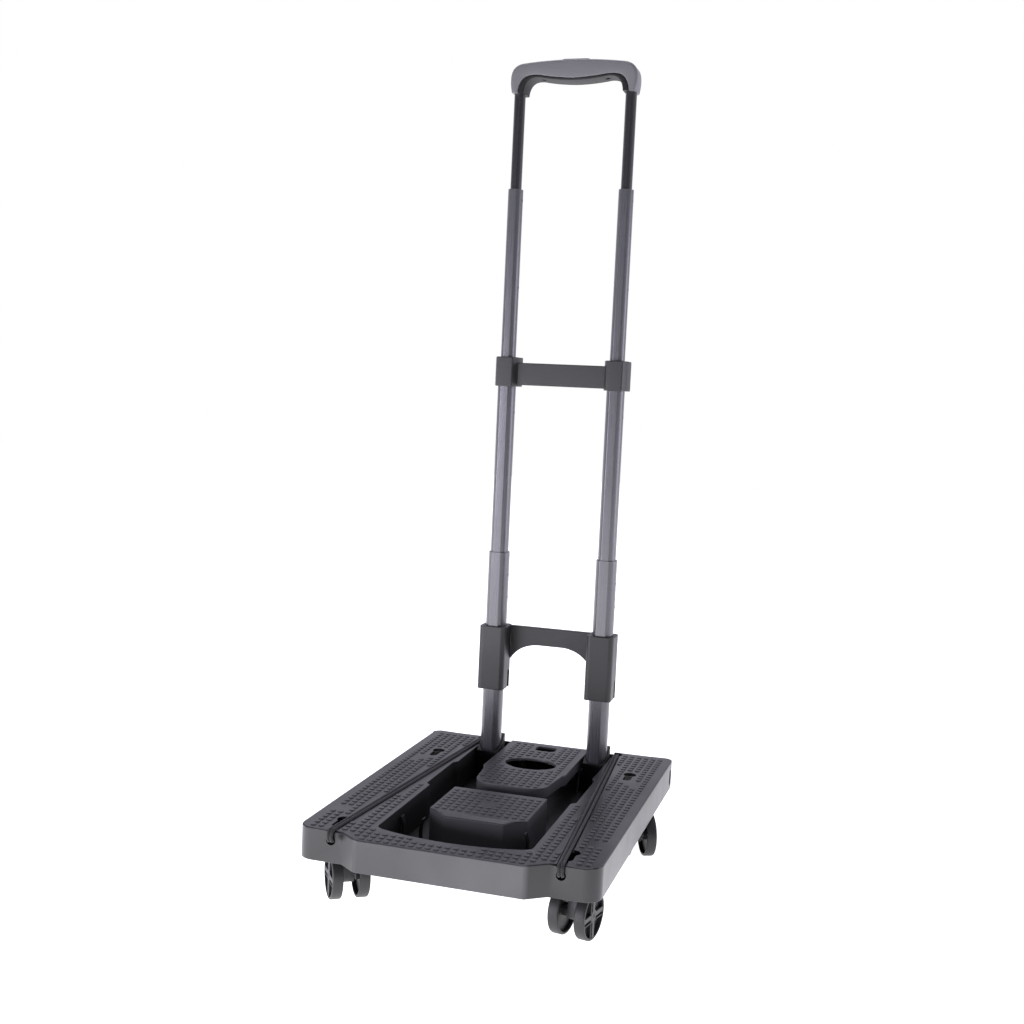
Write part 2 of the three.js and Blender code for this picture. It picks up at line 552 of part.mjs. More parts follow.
const casterRestAngles = [
  ['front_left', -1, CASTER_FRONT_Y, 35],
  ['front_right', 1, CASTER_FRONT_Y, -11],
  ['rear_left', -1, CASTER_REAR_Y, 205],
  ['rear_right', 1, CASTER_REAR_Y, 25],
];
const outerWheel = geometryOf(makeWheel(1));
const innerWheel = geometryOf(makeWheel(-1));
const casterBody = geometryOf(makeCasterBody());
const socketBody = barZ(SOCKET_R, 0, 0, -26.4, -PLATE - GAP, 20);
const casterSocket = geometryOf(cut(socketBody, barZ(STEM_R + GAP, 0, 0, -30, 0, 12)));
const casterStem = geometryOf(barZ(STEM_R, 0, 0, -39.5, -8, 12));
const casterAxle = geometryOf(barX(AXLE_R, -16, 16, 0, 0, 12));
for (const [place, side, y, angle] of casterRestAngles) {
  const caster = new THREE.Group();
  caster.position.set(side * CASTER_X, y, 0);
  caster.rotation.z = THREE.MathUtils.degToRad(angle);
  cart.add(caster);
  addPiece(`caster_socket_${place}`, casterSocket, softBlack, caster);
  addPiece(`caster_stem_${place}`, casterStem, steel, caster);
  addPiece(`caster_body_${place}`, casterBody, bracketGrey, caster);
  addPiece(`caster_axle_${place}`, casterAxle, steel, caster).position.set(0, -CASTER_TRAIL, AXLE_Z);
  addPiece(`wheel_${place}_a`, innerWheel, rubber, caster).position.set(-WHEEL_OUT, -CASTER_TRAIL, AXLE_Z);
  addPiece(`wheel_${place}_b`, outerWheel, rubber, caster).position.set(WHEEL_OUT, -CASTER_TRAIL, AXLE_Z);
}

// ---- elastic cords ------------------------------------------------------------------------
// each cord comes out of a rail's front face, runs back along its channel and drops into a rear hole
const cordRoute = [
  [110, 8, -10], [110, 2, -10], [110, -1.4, -9.2], [110, -2.7, -7], [110, -2.7, -3.4], [109.9, -2.1, -0.9],
  [109.7, 0.8, 0.6], [109.2, 8, 0.5], [105.9, 50, 0.4], [98, 150, 0.4], [90, 250, 0.4], [84.5, 320, 0.4],
  [81.1, 362, 0.5], [80.8, 366.6, -0.3], [80.6, 369.3, -2.8], [80.5, 370.4, -7], [80.5, 370.4, -14],
];
function makeCord(side) {
  const path = new THREE.CatmullRomCurve3(
    cordRoute.map(([x, y, z]) => new THREE.Vector3(side * x, y, z)), false, 'centripetal');
  const across = (CORD_WIDE - CORD_THICK) / 2;
  const section = new THREE.Shape();
  section.moveTo(-across, CORD_THICK / 2);
  section.absarc(-across, 0, CORD_THICK / 2, Math.PI / 2, Math.PI * 1.5);
  section.absarc(across, 0, CORD_THICK / 2, -Math.PI / 2, Math.PI / 2);
  const drawn = { steps: 40, extrudePath: path, bevelEnabled: false, curveSegments: 3 };
  return solid(new THREE.ExtrudeGeometry(section, drawn));
}
for (const side of [-1, 1]) {
  addPiece(`cord_${sideName(side)}`, makeCord(side), cordBlack);
}

export default cart;
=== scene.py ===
# %% [markdown]
# # Folding platform cart
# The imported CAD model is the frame: every piece below is built in its coordinates, in metres, and rides
# on one of its bodies. Sizes are written in millimetres in the deck's own plan (x across, y back from the
# rails' front faces, z up from the deck's top) and turned into metres by one function.

# %% Load the frame
from math import cos, pi, radians, sin

import bmesh
import bpy
import numpy as np
from mathutils import Matrix, Vector


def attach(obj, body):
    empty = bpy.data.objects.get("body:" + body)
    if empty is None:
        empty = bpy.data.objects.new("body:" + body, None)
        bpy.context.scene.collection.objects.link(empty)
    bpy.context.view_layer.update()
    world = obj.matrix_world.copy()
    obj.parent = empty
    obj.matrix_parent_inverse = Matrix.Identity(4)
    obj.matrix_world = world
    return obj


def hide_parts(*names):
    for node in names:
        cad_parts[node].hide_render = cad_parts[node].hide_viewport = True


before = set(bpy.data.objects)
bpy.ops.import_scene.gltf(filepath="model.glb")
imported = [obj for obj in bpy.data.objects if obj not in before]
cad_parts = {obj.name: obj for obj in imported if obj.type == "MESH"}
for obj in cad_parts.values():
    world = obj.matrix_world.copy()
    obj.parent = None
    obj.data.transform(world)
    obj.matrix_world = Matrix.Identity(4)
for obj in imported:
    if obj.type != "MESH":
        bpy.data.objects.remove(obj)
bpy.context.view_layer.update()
DECK_HEIGHT = 79.0
PLAN_MIDDLE = 183.0


def metres(points):
    """Plan millimetres to the frame's metres: moved back by the plan's middle and up by the deck's height."""
    shifted = np.asarray(points, float) + np.array([0.0, -PLAN_MIDDLE, DECK_HEIGHT])
    return shifted * 0.001


# %% [markdown]
# ## Camera
# The cart is seen from in front, a little to its right and from half its height, through a normal lens.
# The camera's own axes are worked out from a yaw, a pitch and a small roll, so the view can be read off.

# %% Camera
def aim_camera(place, yaw, pitch, roll, lens):
    """Sight line from yaw and pitch; the right and up axes are turned about it by roll."""
    sight = Vector((-sin(yaw) * cos(pitch), cos(yaw) * cos(pitch), -sin(pitch)))
    right = Vector((cos(yaw), sin(yaw), 0.0))
    up = right.cross(sight)
    right_rolled = cos(roll) * right + sin(roll) * up
    up_rolled = -sin(roll) * right + cos(roll) * up
    camera = bpy.data.objects.new("camera", bpy.data.cameras.new("camera"))
    camera.data.lens = lens
    camera.data.sensor_width = 36.0
    axes = Matrix((right_rolled, up_rolled, -sight)).transposed()
    camera.matrix_world = Matrix.Translation(place) @ axes.to_4x4()
    bpy.context.scene.collection.objects.link(camera)
    bpy.context.scene.camera = camera
    return camera


aim_camera((0.3673, -1.2637, 0.4901), yaw=0.2855, pitch=0.092, roll=0.046, lens=45.8)
print("camera set")

# %% [markdown]
# ## Studio
# Dark plastic shows its shape by what it mirrors, so the studio is a pale room whose floor is brightest just
# in front of the cart: faces near the ground mirror it, and faces high up mirror the darker front wall.
# Three soft boxes help: low in front on the left, behind the right shoulder, and a weak one overhead.

# %% Floor, room light and soft boxes
COOL = (0.97, 0.95, 1.09, 1.0)


def flat_floor(size=12.0):
    mesh = bpy.data.meshes.new("floor")
    half = size / 2
    corners = [(-half, -half, 0), (half, -half, 0), (half, half, 0), (-half, half, 0)]
    mesh.from_pydata(corners, [], [(0, 1, 2, 3)])
    floor = bpy.data.objects.new("floor", mesh)
    bpy.context.scene.collection.objects.link(floor)
    return floor


def soft_box(name, place, aim, width, height, power):
    lamp = bpy.data.lights.new(name, "AREA")
    lamp.shape = "RECTANGLE"
    lamp.size, lamp.size_y, lamp.energy = width, height, power
    lamp.color = COOL[:3]
    box = bpy.data.objects.new(name, lamp)
    box.location = place
    box.rotation_euler = (Vector(aim) - Vector(place)).to_track_quat("-Z", "Y").to_euler()
    box.visible_camera = False
    bpy.context.scene.collection.objects.link(box)
    return box


floor = flat_floor()


def pale_room(front, rear):
    """A white backdrop to look at; what it shines on the cart grows from the front wall to the rear one."""
    room = bpy.data.worlds.new("room")
    room.use_nodes = True
    tree = room.node_tree
    backdrop = tree.nodes["Background"]
    backdrop.inputs["Color"].default_value = (1.0, 1.0, 1.0, 1.0)
    shine = tree.nodes.new("ShaderNodeBackground")
    shine.inputs["Color"].default_value = COOL
    where = tree.nodes.new("ShaderNodeTexCoord")
    split = tree.nodes.new("ShaderNodeSeparateXYZ")
    fade = tree.nodes.new("ShaderNodeMapRange")
    for socket, value in zip(("From Min", "From Max", "To Min", "To Max"), (-0.8, 0.8, front, rear)):
        fade.inputs[socket].default_value = value
    path = tree.nodes.new("ShaderNodeLightPath")
    either = tree.nodes.new("ShaderNodeMixShader")
    for start, end in ((where.outputs["Generated"], split.inputs[0]),
                       (split.outputs["Y"], fade.inputs["Value"]),
                       (fade.outputs["Result"], shine.inputs["Strength"]),
                       (path.outputs["Is Camera Ray"], either.inputs[0]),
                       (shine.outputs[0], either.inputs[1]),
                       (backdrop.outputs[0], either.inputs[2]),
                       (either.outputs[0], tree.nodes["World Output"].inputs["Surface"])):
        tree.links.new(start, end)
    return room


bpy.context.scene.world = pale_room(front=0.10, rear=0.78)
bpy.context.scene.view_settings.view_transform = "Standard"
soft_box("front_box", (-1.6, -2.2, 0.35), (0, 0.0, 0.35), 1.4, 0.5, 28)
soft_box("right_box", (2.2, 1.2, 0.5), (0.1, 0.1, 0.2), 1.0, 1.0, 9)
soft_box("top_box", (-0.3, 0.6, 2.6), (0, 0.1, 0.2), 1.6, 1.6, 20)
print("studio lit")

# %% [markdown]
# ## Finishes
# Every finish is worked out by nodes on Object coordinates, and the cord's on its own UV map, so none needs
# a picture. Moulded plastic has a fine spark-eroded grain, a slow waviness from shrinking in the mould,
# patches that are a little duller, and paler edges: polished by handling, and on the deck and islands also
# a painted highlight. The Bevel node finds the edges. The deck is darker inside its bay as painted shade and
# paler on the front of its nose as painted light, and the two islands are paler on their sides than on their
# tops as painted light.

# %% Node helpers
def start_material(name):
    material = bpy.data.materials.new(name)
    material.use_nodes = True
    tree = material.node_tree
    return material, tree, tree.nodes["Principled BSDF"]


def node(tree, kind, inputs=(), **settings):
    """A node of this kind; settings are its properties, and inputs are values or links by socket."""
    made = tree.nodes.new(kind)
    for key, value in settings.items():
        setattr(made, key, value)
    for key, value in dict(inputs).items():
        if isinstance(value, bpy.types.NodeSocket):
            tree.links.new(value, made.inputs[key])
        else:
            made.inputs[key].default_value = value
    return made


def noise(tree, where, scale, detail=2.0, rough=0.5):
    return node(tree, "ShaderNodeTexNoise", {"Vector": where, "Scale": scale, "Detail": detail,
                                             "Roughness": rough}).outputs["Fac"]


def ranged(tree, value, low, high, to_low, to_high):
    """Value from low..high carried to to_low..to_high, and held at the ends."""
    return node(tree, "ShaderNodeMapRange", {"Value": value, "From Min": low, "From Max": high,
                                             "To Min": to_low, "To Max": to_high}).outputs["Result"]


def mixed(tree, share, first, second):
    """First colour to second by share."""
    mix = node(tree, "ShaderNodeMix", data_type="RGBA")
    tree.links.new(share, mix.inputs[0])
    for index, value in ((6, first), (7, second)):
        if isinstance(value, bpy.types.NodeSocket):
            tree.links.new(value, mix.inputs[index])
        else:
            mix.inputs[index].default_value = value
    return mix.outputs[2]


def edge_mask(tree, radius):
    """1 on sharp edges and 0 on flat areas: how far the rounded normal leans from the true one."""
    rounded = node(tree, "ShaderNodeBevel", {"Radius": radius}, samples=4).outputs["Normal"]
    true = node(tree, "ShaderNodeNewGeometry").outputs["Normal"]
    lean = node(tree, "ShaderNodeVectorMath", {0: rounded, 1: true},
                operation="DOT_PRODUCT").outputs["Value"]
    return ranged(tree, lean, 0.995, 0.80, 0.0, 1.0)


def grey(level, tint=0.06):
    """A grey with a trace of violet-blue, as black plastic has under studio light."""
    return (level, level, level * (1 + tint), 1.0)


# %% Moulded plastic
BAY_BESIDE, BAY_BEHIND, BAY_UNDER = 0.0808, -0.171, 0.0775
# Inside the bay the deck's grey is painted darker, as painted shade, and made rougher.
BAY_PAINTED_SHADE, BAY_DULLER = 0.4, 0.22
# On the front of its nose the deck is painted paler in patches, as painted light.
NOSE_FACE = (-0.1968, -0.1945)
NOSE_PAINTED_LIGHT = 5.2
SINK_DEPTH = 0.00018
# Faces steeper than this take a paler grey on the islands: painted light on their sides.
STEEP = 0.5


def maths(tree, operation, *values):
    """The result of one Math node."""
    return node(tree, "ShaderNodeMath", dict(enumerate(values)), operation=operation).outputs[0]


def in_bay(tree, where):
    """1 on faces below the top inside the handle bay, where painted shade darkens the deck, worked out from
    plain comparisons of x, y and z.
    """
    split = node(tree, "ShaderNodeSeparateXYZ", {"Vector": where})
    aside = maths(tree, "ABSOLUTE", split.outputs["X"])
    beside = maths(tree, "LESS_THAN", aside, BAY_BESIDE)
    behind = maths(tree, "GREATER_THAN", split.outputs["Y"], BAY_BEHIND)
    under = maths(tree, "LESS_THAN", split.outputs["Z"], BAY_UNDER)
    return maths(tree, "MULTIPLY", maths(tree, "MULTIPLY", beside, behind), under)


def sink_bands(tree, where, spacing=0.04):
    """A shallow cosine along x: skins sink a little over the ribs behind them."""
    across = node(tree, "ShaderNodeSeparateXYZ", {"Vector": where}).outputs["X"]
    return maths(tree, "COSINE", maths(tree, "MULTIPLY", across, 2 * pi / spacing))


def moulded_plastic(name, level, rough, grain=0.10, wave=0.35, edge_wear_and_highlight=1.9, grain_scale=1400.0, bay=False,
                    painted_side_grey=None, shine=0.5):
    """A grey plastic whose edges are paler by a given factor, from wear and, where the factor is large, a
    painted highlight. A grey given for steep faces is painted on them as painted light; bay paints the deck's
    bay darker as painted shade and its nose front paler as painted light, and adds sink marks."""
    material, tree, shader = start_material(name)
    where = node(tree, "ShaderNodeTexCoord").outputs["Object"]
    patches = noise(tree, where, 9.0, 3.0)
    fine = noise(tree, where, grain_scale, 2.0)
    slow = noise(tree, where, 24.0, 1.0)
    edges = edge_mask(tree, 0.0012)
    body = mixed(tree, patches, grey(level * 0.82), grey(level * 1.2))
    # Edges paler from wear and, where the factor is large, a painted highlight.
    wear_and_painted_light = mixed(tree, edges, body, grey(level * edge_wear_and_highlight))
    dull = ranged(tree, patches, 0.3, 0.7, rough + 0.06, rough - 0.05)
    waves = node(tree, "ShaderNodeBump", {"Strength": wave, "Distance": 0.0012, "Height": slow})
    # Steep faces painted a paler grey: painted light on the islands' sides.
    if painted_side_grey:
        facing = node(tree, "ShaderNodeNewGeometry").outputs["Normal"]
        upward = node(tree, "ShaderNodeSeparateXYZ", {"Vector": facing}).outputs["Z"]
        steep = maths(tree, "LESS_THAN", upward, STEEP)
        wear_and_painted_light = mixed(tree, steep, wear_and_painted_light, grey(painted_side_grey))
    if bay:
        # Painted shade: the deck is darker and rougher inside its bay.
        inside = in_bay(tree, where)
        wear_and_painted_light = mixed(tree, inside, wear_and_painted_light, grey(level * BAY_PAINTED_SHADE))
        dull = maths(tree, "MULTIPLY_ADD", inside, BAY_DULLER, dull)
        # Painted light: the front of the nose is paler in patches.
        forward = node(tree, "ShaderNodeSeparateXYZ", {"Vector": where}).outputs["Y"]
        on_nose = ranged(tree, forward, *NOSE_FACE, 1.0, 0.0)
        painted_nose_light = maths(tree, "MULTIPLY", on_nose, ranged(tree, patches, 0.35, 0.65, 0.45, 1.0))
        wear_and_painted_light = mixed(tree, painted_nose_light, wear_and_painted_light, grey(level * NOSE_PAINTED_LIGHT))
        waves = node(tree, "ShaderNodeBump", {"Strength": 1.0, "Distance": SINK_DEPTH,
                                              "Normal": waves.outputs["Normal"],
                                              "Height": sink_bands(tree, where)})
    tree.links.new(wear_and_painted_light, shader.inputs["Base Color"])
    tree.links.new(dull, shader.inputs["Roughness"])
    grains = node(tree, "ShaderNodeBump", {"Strength": grain, "Distance": 0.0003, "Height": fine,
                                           "Normal": waves.outputs["Normal"]})
    tree.links.new(grains.outputs["Normal"], shader.inputs["Normal"])
    shader.inputs["Specular IOR Level"].default_value = shine
    return material


# The deck's and islands' edges are paled most: wear and a painted highlight.
deck_plastic = moulded_plastic("deck_plastic", 0.013, 0.34, edge_wear_and_highlight=3.2, bay=True)
# The islands' steep sides get a paler grey as painted light.
island_plastic = moulded_plastic("island_plastic", 0.030, 0.42, edge_wear_and_highlight=3.0, painted_side_grey=0.11)
# The studs take a paler grey than the deck: painted light on the studs against the darker deck between them.
painted_lit_stud_plastic = moulded_plastic("painted_lit_stud_plastic", 0.038, 0.42, wave=0.05)
bracket_plastic = moulded_plastic("bracket_plastic", 0.018, 0.46, grain=0.06, wave=0.12, edge_wear_and_highlight=1.4)
grip_plastic = moulded_plastic("grip_plastic", 0.14, 0.36, grain=0.05, wave=0.08, edge_wear_and_highlight=1.15)
inner_plastic = moulded_plastic("inner_plastic", 0.008, 0.5, wave=0.1, edge_wear_and_highlight=1.6, shine=0.3)
wheel_plastic = moulded_plastic("wheel_plastic", 0.018, 0.5, grain=0.16, wave=0.1, edge_wear_and_highlight=2.0)
caster_plastic = moulded_plastic("caster_plastic", 0.035, 0.5, grain=0.1, wave=0.1, edge_wear_and_highlight=1.6)

# %% [markdown]
# The tubes are drawn aluminium under a dark grey lacquer. Drawing leaves faint lines along the tube, so
# the noise is stretched along Z; sliding in and out rubs the corners a little brighter.

# %% Lacquered tube, steel and braided cord
THREADS_AROUND = 8.0


def lacquered_tube(name, level, rough):
    material, tree, shader = start_material(name)
    where = node(tree, "ShaderNodeTexCoord").outputs["Object"]
    along = node(tree, "ShaderNodeMapping", {"Vector": where, "Scale": (1.0, 1.0, 0.012)}).outputs["Vector"]
    lines = noise(tree, along, 2600.0, 2.0)
    patches = noise(tree, where, 14.0, 3.0)
    edges = edge_mask(tree, 0.0007)
    body = mixed(tree, patches, grey(level * 0.9, 0.1), grey(level * 1.1, 0.1))
    wear_and_painted_light = mixed(tree, ranged(tree, edges, 0.0, 1.0, 0.0, 0.5), body, grey(level * 1.8, 0.1))
    tree.links.new(wear_and_painted_light, shader.inputs["Base Color"])
    tree.links.new(ranged(tree, lines, 0.3, 0.7, rough - 0.05, rough + 0.07), shader.inputs["Roughness"])
    drawn = node(tree, "ShaderNodeBump", {"Strength": 0.12, "Distance": 0.0002, "Height": lines})
    tree.links.new(drawn.outputs["Normal"], shader.inputs["Normal"])
    shader.inputs["Metallic"].default_value = 0.5
    shader.inputs["Coat Weight"].default_value = 0.25
    shader.inputs["Coat Roughness"].default_value = 0.18
    return material


def bright_steel(name):
    material, tree, shader = start_material(name)
    where = node(tree, "ShaderNodeTexCoord").outputs["Object"]
    scuffs = noise(tree, where, 700.0, 3.0)
    patches = noise(tree, where, 60.0, 2.0)
    tree.links.new(mixed(tree, patches, grey(0.42), grey(0.56)), shader.inputs["Base Color"])
    tree.links.new(ranged(tree, scuffs, 0.3, 0.7, 0.22, 0.4), shader.inputs["Roughness"])
    bump = node(tree, "ShaderNodeBump", {"Strength": 0.08, "Distance": 0.0002, "Height": scuffs})
    tree.links.new(bump.outputs["Normal"], shader.inputs["Normal"])
    shader.inputs["Metallic"].default_value = 1.0
    return material


def braided_cord(name):
    """Sheath threads cross on the cord's own UV map: two wave bands that lean opposite ways."""
    material, tree, shader = start_material(name)
    uv = node(tree, "ShaderNodeUVMap", uv_map="along").outputs["UV"]
    split = node(tree, "ShaderNodeSeparateXYZ", {"Vector": uv})
    around, run = split.outputs["Y"], split.outputs["X"]
    leans = []
    for hand in (1.0, -1.0):
        turns = maths(tree, "MULTIPLY_ADD", around, THREADS_AROUND * hand, run)
        leans.append(maths(tree, "SINE", maths(tree, "MULTIPLY", turns, 2 * pi)))
    weave = maths(tree, "MAXIMUM", *leans)
    threads = ranged(tree, weave, -0.4, 1.0, 0.0, 1.0)
    tree.links.new(mixed(tree, threads, grey(0.006), grey(0.024)), shader.inputs["Base Color"])
    tree.links.new(ranged(tree, threads, 0.0, 1.0, 0.95, 0.7), shader.inputs["Roughness"])
    bump = node(tree, "ShaderNodeBump", {"Strength": 0.6, "Distance": 0.0003, "Height": threads})
    tree.links.new(bump.outputs["Normal"], shader.inputs["Normal"])
    shader.inputs["Sheen Weight"].default_value = 0.15
    return material


tube_lacquer = lacquered_tube("tube_lacquer", 0.105, 0.30)
top_tube_lacquer = lacquered_tube("top_tube_lacquer", 0.035, 0.3)
steel = bright_steel("steel")
cord_sheath = braided_cord("cord_sheath")

# %% Floor paper
FRONT_GLOW = 3.0
GLOW_REACH = (-0.6, 0.1)
GLOW_SIDE = (0.05, 0.35)
GLOW_FADE = (-4.0, -1.6)


def pale_floor():
    """White paper that shines most in front of the cart and fades far in front of it."""
    material, tree, shader = start_material("floor_paper")
    where = node(tree, "ShaderNodeTexCoord").outputs["Object"]
    fibres = noise(tree, where, 40.0, 3.0)
    paper = mixed(tree, fibres, (0.90, 0.90, 0.90, 1), (0.93, 0.93, 0.93, 1))
    tree.links.new(paper, shader.inputs["Base Color"])
    shader.inputs["Roughness"].default_value = 0.95
    shader.inputs["Specular IOR Level"].default_value = 0.1
    shader.inputs["Emission Color"].default_value = (0.985, 0.98, 1.0, 1.0)
    split = node(tree, "ShaderNodeSeparateXYZ", {"Vector": where}).outputs
    forward = ranged(tree, split["Y"], *GLOW_REACH, FRONT_GLOW - 1.0, 0.0)
    leftward = ranged(tree, split["X"], *GLOW_SIDE, 1.0, 0.15)
    near_glow = maths(tree, "MULTIPLY_ADD", forward, leftward, 1.0)
    far_fade = ranged(tree, split["Y"], *GLOW_FADE, 0.08, 1.0)
    tree.links.new(maths(tree, "MULTIPLY", near_glow, far_fade), shader.inputs["Emission Strength"])
    return material


floor.data.materials.append(pale_floor())
print("finishes", len(bpy.data.materials))

# %% [markdown]
# ## Making meshes
# Two ways are used. A piece whose CAD shape is right is copied: its doubles are merged, its flat areas are
# joined, and its long outward edges are rounded with a Bevel modifier, as a real mould rounds them.
# A piece that needs a finer shape is a surface worked out with numpy and put into a mesh in one go.

# %% Pieces from arrays
def finish_piece(made, body, material, replaces=()):
    """Give a piece its finish, the body it rides on and the CAD nodes that it stands for."""
    made.data.materials.clear()
    made.data.materials.append(material)
    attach(made, body)
    if replaces:
        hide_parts(*replaces)
    return made


def piece_of(name, points, quads, smooth=True, sharp_angle=35.0):
    """A mesh object from plan points in millimetres and rows of four corner numbers."""
    mesh = bpy.data.meshes.new(name)
    mesh.from_pydata(metres(points), [], np.asarray(quads).tolist())
    if smooth:
        mesh.shade_smooth()
        mesh.set_sharp_from_angle(angle=radians(sharp_angle))
    made = bpy.data.objects.new(name, mesh)
    bpy.context.scene.collection.objects.link(made)
    return made


def grid_quads(rows, columns, wrap_rows=False, wrap_columns=True, first=0):
    """Corner numbers of every cell of a grid; a wrapped side joins its last line to its first."""
    r = np.arange(rows if wrap_rows else rows - 1)[:, None]
    c = np.arange(columns if wrap_columns else columns - 1)[None, :]
    up, on = (r + 1) % rows, (c + 1) % columns
    cells = np.stack([r * columns + c, r * columns + on, up * columns + on, up * columns + c], -1)
    return cells.reshape(-1, 4) + first


def gather(parts):
    """Several (points, quads) into one, with each part's corner numbers moved past those before it."""
    starts = np.cumsum([0] + [len(p) for p, _ in parts[:-1]])
    return np.concatenate([p for p, _ in parts]), np.concatenate([q + s for (_, q), s in zip(parts, starts)])


def capped(rings):
    """A closed skin over rings (levels, around, 3): the first and last ring shrink to a small middle ring."""
    def lid(ring):
        middle = ring.mean(0)
        return middle + (ring - middle) * 1e-4
    rings = np.concatenate([lid(rings[0])[None], rings, lid(rings[-1])[None]])
    levels, around = rings.shape[:2]
    return rings.reshape(-1, 3), grid_quads(levels, around)


# %% Pieces from CAD nodes
def softened(name, node_name, width, body, material, shortest=0.003, sharp=30.0, weigh=None,
             segments=2):
    """A merged copy of a CAD node whose long outward edges are rounded by width millimetres.
    weigh gives each edge a share of width from its middle and its direction."""
    bm = bmesh.new()
    bm.from_mesh(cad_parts[node_name].data)
    bmesh.ops.remove_doubles(bm, verts=bm.verts, dist=3e-6)
    bmesh.ops.dissolve_limit(bm, angle_limit=radians(0.5), verts=bm.verts, edges=bm.edges,
                             use_dissolve_boundaries=False)
    bmesh.ops.connect_verts_concave(bm, faces=bm.faces)
    weights = bm.edges.layers.float.new("bevel_weight_edge")
    for edge in bm.edges:
        turn = edge.calc_face_angle_signed(0.0) if len(edge.link_faces) == 2 else 0.0
        keen = abs(turn) > radians(sharp)
        share = 1.0 if keen and turn > 0 and edge.calc_length() > shortest else 0.0
        if share and weigh:
            share = weigh((edge.verts[0].co + edge.verts[1].co) / 2, edge.verts[1].co - edge.verts[0].co)
        edge[weights] = share
        edge.smooth = not keen or share > 0
    for face in bm.faces:
        face.smooth = True
    mesh = bpy.data.meshes.new(name)
    bm.to_mesh(mesh)
    bm.free()
    made = bpy.data.objects.new(name, mesh)
    bpy.context.scene.collection.objects.link(made)
    bevel = made.modifiers.new("rounded_edges", "BEVEL")
    bevel.limit_method = "WEIGHT"
    bevel.width = width * 0.001
    bevel.segments = segments
    bevel.use_clamp_overlap = False
    bpy.context.view_layer.update()
    rounded = bpy.data.meshes.new_from_object(made.evaluated_get(bpy.context.evaluated_depsgraph_get()))
    rounded.name = name
    rounded.shade_smooth()
    rounded.set_sharp_from_angle(angle=radians(sharp + 2))
    made.modifiers.clear()
    made.data = rounded
    even = made.modifiers.new("flat_faces_stay_flat", "WEIGHTED_NORMAL")
    even.keep_sharp = True
    return finish_piece(made, body, material, [node_name])


# %% [markdown]
# ## Deck
# The deck is one moulding: two rails, a nose bar and the walls of the bay in which the handle lies. The
# bevel's width is weighted by where each edge lies: 3 mm on its upright outer edges, 1.8 mm on the outer
# rim of the top and 0.6 mm elsewhere. A thin dark wall closes the pocket under each front keyhole.

# %% Deck, front block and rear cover
SIDE_X, FRONT_Y, REAR_Y, TOP_Z = 143.5, 1.0, 378.5, -0.6
POCKET_FLOOR, UNDER_TOP = -17.7, -4.3


def deck_edges(middle, along):
    """The share of the bevel's width that an edge of the deck gets."""
    x, y, z = middle.x * 1000, middle.y * 1000 + PLAN_MIDDLE, middle.z * 1000 - DECK_HEIGHT
    upright = abs(along.z) > 0.9 * along.length
    outer = abs(x) > SIDE_X or y < FRONT_Y or y > REAR_Y
    if upright and outer:
        return 1.0
    if outer and z > TOP_Z:
        return 0.6
    return 0.2


softened("deck_shell", "deck", 3.0, "deck", deck_plastic, weigh=deck_edges, segments=3)
softened("front_block_shell", "front_block", 1.0, "deck", island_plastic, segments=3)
softened("rear_cover_shell", "rear_cover", 0.8, "deck", island_plastic)


def pocket_wall(name, side):
    """A thin U in plan behind and beside a front keyhole, from the pocket's floor up to the top plate."""
    near, far, front, rear, thick = 98.3, 130.2, 3.3, 45.3, 1.2
    plan = np.array([(near, front), (near, rear), (far, rear), (far, front), (far - thick, front),
                     (far - thick, rear - thick), (near + thick, rear - thick), (near + thick, front)])
    points = np.concatenate([np.c_[plan * [side, 1], np.full(8, z)] for z in (POCKET_FLOOR, UNDER_TOP)])
    around = np.arange(8)
    walls = np.stack([around, around + 8, (around + 1) % 8 + 8, (around + 1) % 8], -1)
    lid = np.array([(0, 1, 6, 7), (1, 2, 5, 6), (2, 3, 4, 5)])
    quads = np.concatenate([walls, lid[:, ::-1] + 8, lid])
    made = piece_of(name, points, quads if side > 0 else quads[:, ::-1], smooth=False)
    return finish_piece(made, "deck", inner_plastic)


pocket_wall("pocket_wall_left", -1)
pocket_wall("pocket_wall_right", 1)
print("deck mouldings copied")

# %% [markdown]
# The tops carry a grip pattern: short raised dashes in straight rows, 8 mm apart across the deck and
# 8.7 mm apart along it, with a smooth border. A dash is an eight-cornered stud with sloping sides. All the
# studs of a surface are one mesh, and a test on whole arrays says which of them lie on plain material.

# %% Grip studs
STUD_ACROSS, STUD_ALONG = 8.0, 8.7
STUD_HALF = np.array([2.8, 3.2])
STUD_RISE, STUD_SUNK, STUD_SLOPE = 0.8, 0.3, 0.55
SMOOTH_SPOTS = ((111, 290, 11, 22), (112, 28, 11, 22), (122, 262, 9.5, 9.5), (125, 66, 9.5, 9.5))


def stud_field(name, centres, body="deck"):
    """Each stud: an octagon under the surface, carried up and drawn in to a smaller octagon on top."""
    corner = np.array([(-1, -0.6), (-0.55, -1), (0.55, -1), (1, -0.6),
                       (1, 0.6), (0.55, 1), (-0.55, 1), (-1, 0.6)])
    low = np.c_[corner * STUD_HALF, np.full(8, -STUD_SUNK)]
    high = np.c_[corner * (STUD_HALF - STUD_SLOPE), np.full(8, STUD_RISE)]
    one = np.concatenate([low, high])
    side = np.arange(8)
    walls = np.stack([side, (side + 1) % 8, (side + 1) % 8 + 8, side + 8], -1)
    lid = np.array([(0, 1, 2, 3), (0, 3, 4, 7), (4, 5, 6, 7)])
    faces = np.concatenate([walls, lid + 8, lid[:, ::-1]])
    points = (centres[:, None, :] + one[None]).reshape(-1, 3)
    quads = (np.arange(len(centres))[:, None, None] * 16 + faces[None]).reshape(-1, 4)
    made = piece_of(name, points, quads, smooth=False)
    # The studs take the paler stud plastic: painted light against the darker deck.
    return finish_piece(made, body, painted_lit_stud_plastic)


